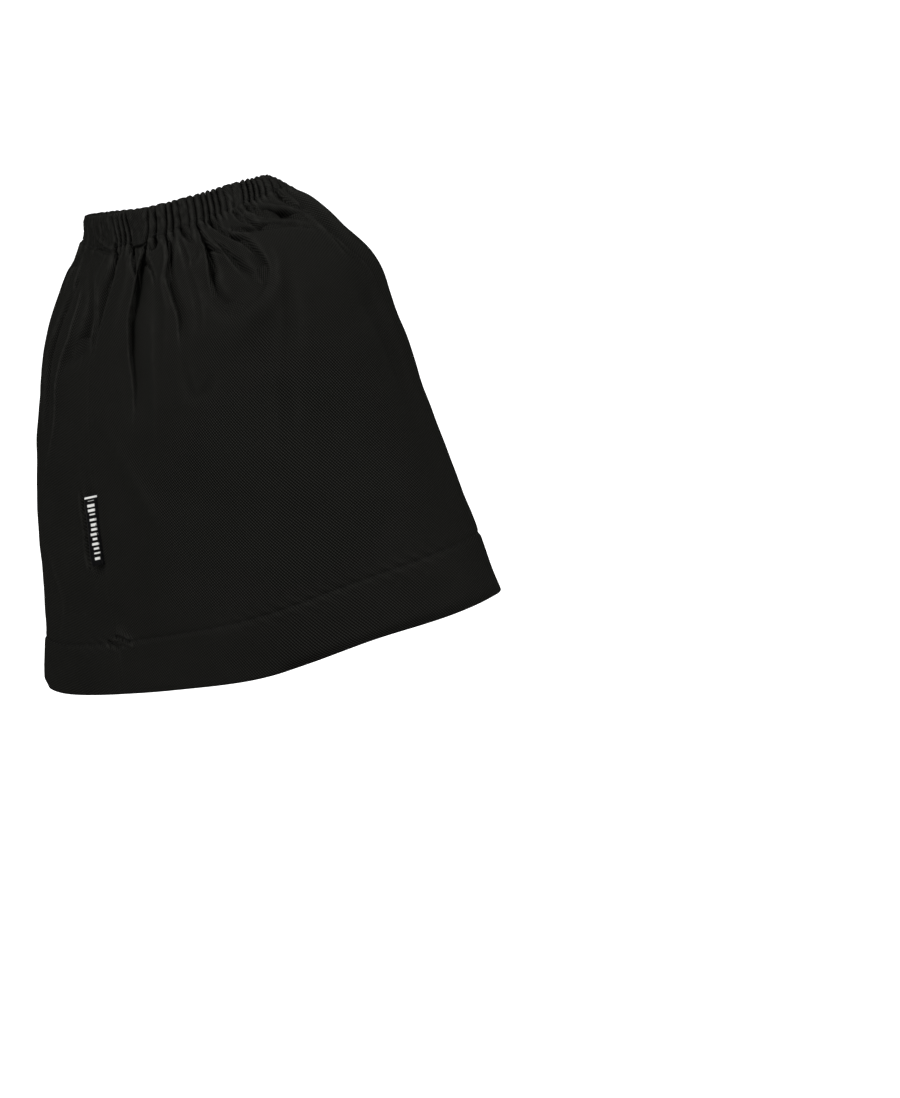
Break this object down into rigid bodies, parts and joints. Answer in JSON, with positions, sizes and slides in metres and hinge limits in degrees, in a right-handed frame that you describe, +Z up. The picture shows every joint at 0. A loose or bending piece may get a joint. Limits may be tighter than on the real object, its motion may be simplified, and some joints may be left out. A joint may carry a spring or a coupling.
{
  "type": "boot cover",
  "caption": "Hollow flared cloth cover worn over a boot's ankle, gathered by an elastic casing at the top, with a turned-up hem and a seam label.",
  "frame": {"origin": "middle of the elastic's ring, where the wearer's ankle holds the cover", "axes": "+X towards the wearer's toes, +Z up, the seam and its label on the side -Y towards the back"},
  "size_m": [0.18, 0.0986, 0.1936],
  "materials": {
    "drill_cloth": "black cotton drill, matt twill",
    "casing_cloth": "black cotton drill, gathered over elastic",
    "hem_cloth": "black cotton drill, wrong side",
    "seam_cloth": "black cotton drill, overlocked edge",
    "label_tape": "black woven tape with plain white bars"
  },
  "bodies": {
    "root": {"body_panel": "drill_cloth", "top_casing": "casing_cloth", "hem_turn_up": "hem_cloth", "seam_allowance": "seam_cloth", "seam_label": "label_tape"}
  },
  "joints": []
}
